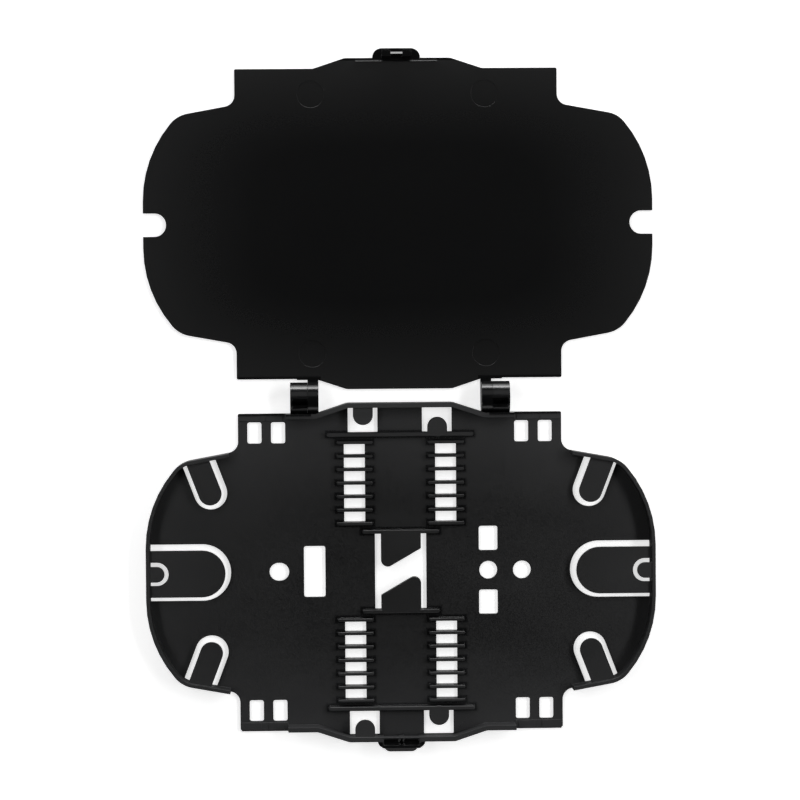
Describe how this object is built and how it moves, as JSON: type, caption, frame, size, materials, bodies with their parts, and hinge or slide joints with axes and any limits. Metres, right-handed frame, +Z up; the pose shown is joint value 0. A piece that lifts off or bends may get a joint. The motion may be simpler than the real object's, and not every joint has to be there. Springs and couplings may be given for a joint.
{
  "type": "fibre splice tray",
  "caption": "Shallow moulded splice tray with coil fields, fibre tongues and two banks of sleeve ribs, and a flat lid that folds over on a two-knuckle hinge and clips shut.",
  "frame": {"origin": "middle of the footprint on the ground, straight below the middle of the hinge line, with the base and the open lid both lying flat", "axes": "+X along the hinge line and the long way of the tray, +Y from the base towards the open lid, +Z up out of the tray"},
  "size_m": [0.1582, 0.219, 0.01],
  "materials": {
    "black_plastic": "satin"
  },
  "bodies": {
    "base": {"tray_base": "black_plastic"},
    "lid": {"lid": "black_plastic"}
  },
  "joints": [
    {"name": "lid_hinge", "type": "hinge", "parent": "base", "child": "lid", "pos_m": [0, 0, 0.005], "axis": [1, 0, 0], "range_deg": [0, 180]}
  ]
}
